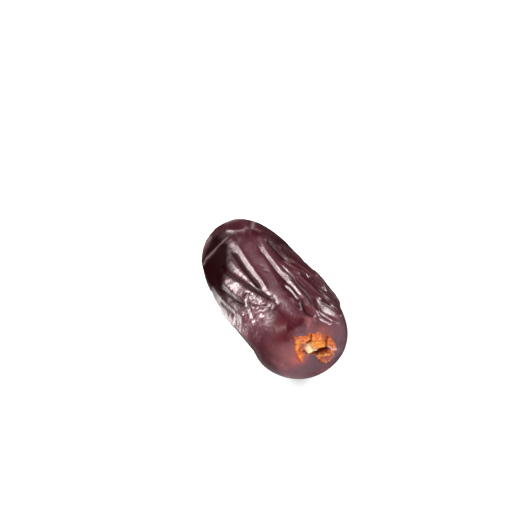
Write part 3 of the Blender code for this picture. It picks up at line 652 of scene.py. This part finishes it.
def closed_grid(rings, spokes):
    """Faces of a grid of rings closed by a fan at each pole, the poles being the last points."""
    ring, spoke = np.meshgrid(np.arange(rings - 1), np.arange(spokes), indexing="ij")
    onward = (spoke + 1) % spokes
    quads = np.stack([ring * spokes + spoke, (ring + 1) * spokes + spoke,
                      (ring + 1) * spokes + onward, ring * spokes + onward], axis=-1)
    spoke = np.arange(spokes)
    onward = (spoke + 1) % spokes
    first = rings * spokes
    start = np.stack([np.full(spokes, first), spoke, onward], axis=-1)
    last = (rings - 1) * spokes
    end = np.stack([np.full(spokes, first + 1), last + onward, last + spoke], axis=-1)
    return quads.reshape(-1, 4), np.vstack([start, end])


def make_skin():
    """The skin's mesh, with what each point shows kept as attributes for its material."""
    polar = np.linspace(0.0, math.pi, RINGS + 2)[1:-1]
    turn = np.linspace(0.0, 2 * math.pi, SPOKES, endpoint=False)
    turn -= CROWDING * np.sin(turn - CROWDED_TURN)
    along, around = np.meshgrid(polar, turn, indexing="ij")
    along = np.append(along.ravel(), (0.0, math.pi))
    around = np.append(around.ravel(), (0.0, 0.0))
    points, normals = body_surface(along, around)
    height, crests, furrows, crumpled = skin_relief(points)
    scar_height, flesh, scar_forms = stem_scar(points)
    height = height * (1.0 - flesh) + scar_height
    moved = points + normals * height[:, None]
    moved[:, 2] = np.maximum(moved[:, 2], REST_LEVEL)
    quads, fans = closed_grid(RINGS, SPOKES)
    mesh = bpy.data.meshes.new("date_skin")
    mesh.from_pydata((moved - CENTRE).tolist(), [], quads.tolist() + fans.tolist())
    mesh.shade_smooth()
    # The deep tone is painted shade, from the dark patches and from the furrows.
    deep = np.maximum(skin_tone(points, "deep"), furrows)
    red = skin_tone(points, "red")
    dull = np.maximum(deep, RED_DULLNESS * red)
    shown = {
        "flesh": flesh,
        "crest": crests,
        "dome": dome_share(points),
        "crumpled": crumpled,
        "bloom_and_sheen": skin_tone(points, "bloom_and_sheen"),
        "grey": skin_tone(points, "grey"),
        "glow": skin_tone(points, "glow"),
        "red": red,
        "deep": deep,
        "bloom_and_highlight_line": bloom_and_highlight_lines(points),
        "roughness": SKIN_ROUGHNESS + DULL_ROUGHNESS * dull + CRUMPLED_ROUGHNESS * crumpled,
        "gloss": SKIN_GLOSS - DULL_GLOSS * dull + CRUMPLED_GLOSS * crumpled * (1.0 - dull),
        "wax": WAX_COAT * (1.0 - dull),
        **scar_forms,
    }
    for name, values in shown.items():
        layer = mesh.attributes.new(name, "FLOAT", "POINT")
        layer.data.foreach_set("value", values.astype(np.float32))
    mesh.update()
    skin = bpy.data.objects.new("date_skin", mesh)
    bpy.context.scene.collection.objects.link(skin)
    return skin


# The colours of the skin and the scar, from plain skin to the tones that lie over it.
DARK_SKIN = (0.020, 0.0010, 0.0022)
MAROON_SKIN = (0.055, 0.0035, 0.008)
MAUVE_BLOOM = (0.160, 0.060, 0.070)
# Mauve of waxy bloom with painted sheen over it.
MAUVE_BLOOM_AND_SHEEN = (0.190, 0.065, 0.090)
DOME_GREY = (0.120, 0.050, 0.062)
DOME_PINK = (0.320, 0.108, 0.132)
# Grey-mauve painted shade for the stem dome.
SHADED_SKIN = (0.135, 0.070, 0.086)
RED_SKIN = (0.080, 0.009, 0.015)
# Bright red of a painted glow through thin skin.
PAINTED_GLOW_SKIN = (0.550, 0.130, 0.110)
# Near-black painted shade for the furrows and the dark patches.
PAINTED_SHADE_SKIN = (0.009, 0.0006, 0.0010)
# Pale lines: partly bloom on creases, partly painted highlight.
LINE_BLOOM_AND_HIGHLIGHT = (0.300, 0.190, 0.200)
FLESH_RED = (0.42, 0.065, 0.030)
FLESH_ORANGE = (0.90, 0.250, 0.045)
TORN_SKIN = (0.33, 0.090, 0.070)
STRAND_AMBER = (0.88, 0.350, 0.060)
STUB_CREAM = (0.85, 0.720, 0.420)
PALE_PINK = (0.80, 0.460, 0.400)
# Painted shade for the pocket and grooves in the scar.
POCKET_PAINTED_SHADE = (0.080, 0.005, 0.001)
CREST_BLOOM = 0.45
CRUMPLED_BLOOM = 0.25
DOME_STRENGTH = 0.8
# Noise in the skin: features a metre, and detail.
CLOUD_NOISE = (260.0, 5.0)
FIBRE_NOISE = (900.0, 3.0)
CREASE_NOISE = (750.0, 2.0)
GRAIN_NOISE = (2600.0, 4.0)
# Which values of the noise start and end a change of colour, and how far the change goes.
DOME_MOTTLE = (0.36, 0.64, 1.0)
DOME_FLECKS = (0.50, 0.70, 0.60)
FLESH_FIBRES = (0.36, 0.60, 1.0)
# Bumps finer than the mesh: strength and depth.
CREASE_BUMP = (0.90, 0.16 * MM)
GRAIN_BUMP = (0.80, 0.11 * MM)
COAT_ROUGHNESS = 0.14
SHINE_TINT = (1.0, 0.86, 0.865, 1.0)


def attribute_value(tree, name):
    """Socket with one of the skin's own attributes."""
    node = tree.nodes.new("ShaderNodeAttribute")
    node.attribute_name = name
    return node.outputs["Fac"]


def noise_value(tree, scale, detail):
    """Socket with noise that is fixed to the fruit."""
    place = tree.nodes.new("ShaderNodeTexCoord")
    node = tree.nodes.new("ShaderNodeTexNoise")
    node.inputs["Scale"].default_value = scale
    node.inputs["Detail"].default_value = detail
    tree.links.new(place.outputs["Object"], node.inputs["Vector"])
    return node.outputs["Fac"]


def ranged(tree, value, low, high, top):
    """Socket that rises from 0 to top while a value goes from low to high."""
    node = tree.nodes.new("ShaderNodeMapRange")
    node.inputs["From Min"].default_value = low
    node.inputs["From Max"].default_value = high
    node.inputs["To Max"].default_value = top
    tree.links.new(value, node.inputs["Value"])
    return node.outputs["Result"]


def product(tree, first, second):
    """Socket with one socket times another, or times a number."""
    node = tree.nodes.new("ShaderNodeMath")
    node.operation = "MULTIPLY"
    tree.links.new(first, node.inputs[0])
    if isinstance(second, float):
        node.inputs[1].default_value = second
    else:
        tree.links.new(second, node.inputs[1])
    return node.outputs[0]


def mixed_colour(tree, share, first, second):
    """Mix of two colours, each a value or a socket, by a share that is a socket."""
    mix = tree.nodes.new("ShaderNodeMix")
    mix.data_type = "RGBA"
    tree.links.new(share, mix.inputs["Factor"])
    for socket, colour in ((mix.inputs[6], first), (mix.inputs[7], second)):
        if isinstance(colour, tuple):
            socket.default_value = (*colour, 1.0)
        else:
            tree.links.new(colour, socket)
    return mix.outputs[2]


def bump_node(tree, height, strength, depth):
    """Bump of the skin by a height that is a socket."""
    node = tree.nodes.new("ShaderNodeBump")
    node.inputs["Strength"].default_value = strength
    node.inputs["Distance"].default_value = depth
    tree.links.new(height, node.inputs["Height"])
    return node


def make_skin_material():
    """Dark maroon skin that goes mauve with bloom on crests and dome, and the scar's flesh."""
    material = bpy.data.materials.new("dried_skin")
    material.use_nodes = True
    tree = material.node_tree
    shader = tree.nodes["Principled BSDF"]
    fibre = noise_value(tree, *FIBRE_NOISE)
    cloud = noise_value(tree, *CLOUD_NOISE)
    dome_skin = mixed_colour(tree, ranged(tree, cloud, *DOME_MOTTLE), DOME_GREY, DOME_PINK)
    flecks = ranged(tree, fibre, *DOME_FLECKS)
    dome_skin = mixed_colour(tree, flecks, dome_skin, DOME_GREY)
    flesh = mixed_colour(tree, ranged(tree, fibre, *FLESH_FIBRES), FLESH_RED, FLESH_ORANGE)
    for name, tone in (("tongue", TORN_SKIN), ("amber", STRAND_AMBER), ("cream", STUB_CREAM),
                       ("pale", PALE_PINK), ("dark", POCKET_PAINTED_SHADE)):
        flesh = mixed_colour(tree, attribute_value(tree, name), flesh, tone)
    colour = mixed_colour(tree, cloud, DARK_SKIN, MAROON_SKIN)
    # Bloom on crests and crumples, then bloom with painted sheen, then the dome's tone.
    for name, strength, tone in (("crest", CREST_BLOOM, MAUVE_BLOOM),
                                 ("crumpled", CRUMPLED_BLOOM, MAUVE_BLOOM),
                                 ("bloom_and_sheen", cloud, MAUVE_BLOOM_AND_SHEEN),
                                 ("dome", DOME_STRENGTH, dome_skin)):
        share = product(tree, attribute_value(tree, name), strength)
        colour = mixed_colour(tree, share, colour, tone)
    # The grey tone is painted shade, the glow a painted glow, the deep tone painted shade and the
    # pale lines partly painted highlight.
    for name, tone in (("grey", SHADED_SKIN), ("red", RED_SKIN), ("glow", PAINTED_GLOW_SKIN),
                       ("deep", PAINTED_SHADE_SKIN), ("bloom_and_highlight_line", LINE_BLOOM_AND_HIGHLIGHT), ("flesh", flesh)):
        colour = mixed_colour(tree, attribute_value(tree, name), colour, tone)
    tree.links.new(colour, shader.inputs["Base Color"])
    for name, socket in (("roughness", "Roughness"), ("gloss", "Specular IOR Level"),
                         ("wax", "Coat Weight")):
        tree.links.new(attribute_value(tree, name), shader.inputs[socket])
    shader.inputs["Coat Roughness"].default_value = COAT_ROUGHNESS
    shader.inputs["Specular Tint"].default_value = SHINE_TINT
    creased = product(tree, noise_value(tree, *CREASE_NOISE), attribute_value(tree, "crumpled"))
    crease_bump = bump_node(tree, creased, *CREASE_BUMP)
    grain_bump = bump_node(tree, noise_value(tree, *GRAIN_NOISE), *GRAIN_BUMP)
    tree.links.new(crease_bump.outputs["Normal"], grain_bump.inputs["Normal"])
    tree.links.new(grain_bump.outputs["Normal"], shader.inputs["Normal"])
    return material


skin = make_skin()
skin.data.materials.append(make_skin_material())
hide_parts("date_fruit")
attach(skin, "root")

# The floor: a plain white sheet that fills the camera's view, but not one from low down. It
# glows a little for the camera, so that it reads as white. Reflections see it dark, with
# two pale ellipses beside and under the fruit that give its low highlights.
FLOOR_SIZE = 6.0
FLOOR_WHITE = (0.90, 0.90, 0.90)
FLOOR_REFLECTED = (0.03, 0.03, 0.03)
FLOOR_ROUGHNESS = 0.9
FLOOR_SHEEN = 0.1
FLOOR_GLOW = 0.40
GLOW_WHITE = (1.0, 1.0, 1.0, 1.0)
# Each ellipse: its middle and its half sizes along X and Y in mm, and its strength.
FLOOR_ELLIPSES = [
    ((5.952, -4.0), (23.81, 10.0), 1.0),
    ((-12.0, -17.0), (13.333, 10.0), 11.0),
]


def ellipse_share(tree, middle, half_sizes):
    """Socket that is 1 at the middle of an ellipse on the floor and 0 from its edge on."""
    place = tree.nodes.new("ShaderNodeTexCoord")
    fitted = tree.nodes.new("ShaderNodeMapping")
    fitted.inputs["Location"].default_value = (-middle[0] / half_sizes[0],
                                               -middle[1] / half_sizes[1], 0.0)
    fitted.inputs["Scale"].default_value = (1.0 / (half_sizes[0] * MM),
                                            1.0 / (half_sizes[1] * MM), 0.0)
    tree.links.new(place.outputs["Object"], fitted.inputs["Vector"])
    ball = tree.nodes.new("ShaderNodeTexGradient")
    ball.gradient_type = "QUADRATIC_SPHERE"
    tree.links.new(fitted.outputs["Vector"], ball.inputs["Vector"])
    return ball.outputs["Fac"]


def make_floor_material():
    """White sheet that the camera sees glow and reflections see dark with pale ellipses."""
    material = bpy.data.materials.new("floor_white")
    material.use_nodes = True
    tree = material.node_tree
    shader = tree.nodes["Principled BSDF"]
    rays = tree.nodes.new("ShaderNodeLightPath")
    reflected = rays.outputs["Is Glossy Ray"]
    glow = product(tree, rays.outputs["Is Camera Ray"], FLOOR_GLOW)
    for middle, half_sizes, strength in FLOOR_ELLIPSES:
        added = tree.nodes.new("ShaderNodeMath")
        added.operation = "MULTIPLY_ADD"
        share = product(tree, ellipse_share(tree, middle, half_sizes), reflected)
        tree.links.new(share, added.inputs[0])
        added.inputs[1].default_value = strength
        tree.links.new(glow, added.inputs[2])
        glow = added.outputs[0]
    tree.links.new(glow, shader.inputs["Emission Strength"])
    shader.inputs["Emission Color"].default_value = GLOW_WHITE
    sheet = mixed_colour(tree, reflected, FLOOR_WHITE, FLOOR_REFLECTED)
    tree.links.new(sheet, shader.inputs["Base Color"])
    shader.inputs["Roughness"].default_value = FLOOR_ROUGHNESS
    shader.inputs["Specular IOR Level"].default_value = FLOOR_SHEEN
    return material


floor_mesh = bpy.data.meshes.new("floor")
half = FLOOR_SIZE / 2
floor_mesh.from_pydata([(-half, -half, 0), (half, -half, 0), (half, half, 0), (-half, half, 0)],
                       [], [(0, 1, 2, 3)])
floor = bpy.data.objects.new("floor", floor_mesh)
bpy.context.scene.collection.objects.link(floor)
floor_mesh.materials.append(make_floor_material())

# The camera: it looks down on the stem end over the near side, from a short distance. The
# picture is 512 pixels wide, and the middle of the fruit lies off the picture's middle.
PICTURE_WIDTH = 512.0
CAMERA_AZIMUTH = 66.0
CAMERA_ELEVATION = 38.0
CAMERA_DISTANCE = 330.0 * MM
PIXEL = MM / 5.14
FRUIT_PIXEL_X = 272.1
FRUIT_PIXEL_Y = 299.0
SENSOR_WIDTH = 36.0
azimuth = math.radians(CAMERA_AZIMUTH)
elevation = math.radians(CAMERA_ELEVATION)
back = Vector((math.sin(azimuth) * math.cos(elevation),
               -math.cos(azimuth) * math.cos(elevation), math.sin(elevation)))
right = Vector((math.cos(azimuth), math.sin(azimuth), 0.0))
upward = back.cross(right)
middle = Vector((-CENTRE).tolist())
camera_data = bpy.data.cameras.new("camera")
camera_data.sensor_width = SENSOR_WIDTH
camera_data.lens = SENSOR_WIDTH * CAMERA_DISTANCE / (PICTURE_WIDTH * PIXEL)
camera_data.clip_start = 0.01
camera = bpy.data.objects.new("camera", camera_data)
bpy.context.scene.collection.objects.link(camera)
stand = (middle + back * CAMERA_DISTANCE
         - right * ((FRUIT_PIXEL_X - PICTURE_WIDTH / 2) * PIXEL)
         + upward * ((FRUIT_PIXEL_Y - PICTURE_WIDTH / 2) * PIXEL))
camera.matrix_world = (Matrix.Translation(stand)
                       @ Matrix((right, upward, back)).transposed().to_4x4())
bpy.context.scene.camera = camera

# The light: six soft boxes round the fruit in a dim room. The key stands to the upper left,
# the side box to the upper right and the top box overhead. The front and low boxes stand by
# the camera and fill the stem end, and the small one lights the near flank.
bpy.context.scene.view_settings.view_transform = "Standard"
BOX_DISTANCE = 600.0 * MM
ROOM_WHITE = (1.0, 1.0, 1.0, 1.0)
ROOM_STRENGTH = 0.02
# Name, bearing from the fruit as (right, upward, back) of the camera's view, depth and
# breadth in metres, and radiance.
SOFT_BOXES = [
    ("key_box", (-0.82, 0.57, 0.02), 0.14, 0.30, 42.0),
    ("top_box", (-0.40, 0.91, 0.14), 0.40, 0.24, 2.1),
    ("side_box", (0.72, 0.66, -0.06), 0.36, 0.18, 22.0),
    ("front_box", (-0.30, 0.10, 0.95), 0.40, 0.40, 1.4),
    ("low_box", (0.14, -0.30, 0.92), 0.30, 0.45, 4.6),
    ("small_box", (-0.80, 0.22, 0.60), 0.08, 0.10, 12.0),
]


def soft_box(name, bearing, depth, breadth, radiance):
    """Area light towards (right, upward, back) of the fruit, depth measured along back."""
    outward = (right * bearing[0] + upward * bearing[1] + back * bearing[2]).normalized()
    deep = (back - outward * back.dot(outward)).normalized()
    broad = outward.cross(deep)
    light = bpy.data.lights.new(name, "AREA")
    light.shape = "RECTANGLE"
    light.size = depth
    light.size_y = breadth
    light.energy = radiance * math.pi * depth * breadth
    lamp = bpy.data.objects.new(name, light)
    bpy.context.scene.collection.objects.link(lamp)
    lamp.matrix_world = (Matrix.Translation(middle + outward * BOX_DISTANCE)
                         @ Matrix((deep, broad, outward)).transposed().to_4x4())


for box in SOFT_BOXES:
    soft_box(*box)
room = bpy.data.worlds.new("room")
bpy.context.scene.world = room
room.use_nodes = True
background = room.node_tree.nodes["Background"]
background.inputs["Color"].default_value = ROOM_WHITE
background.inputs["Strength"].default_value = ROOM_STRENGTH
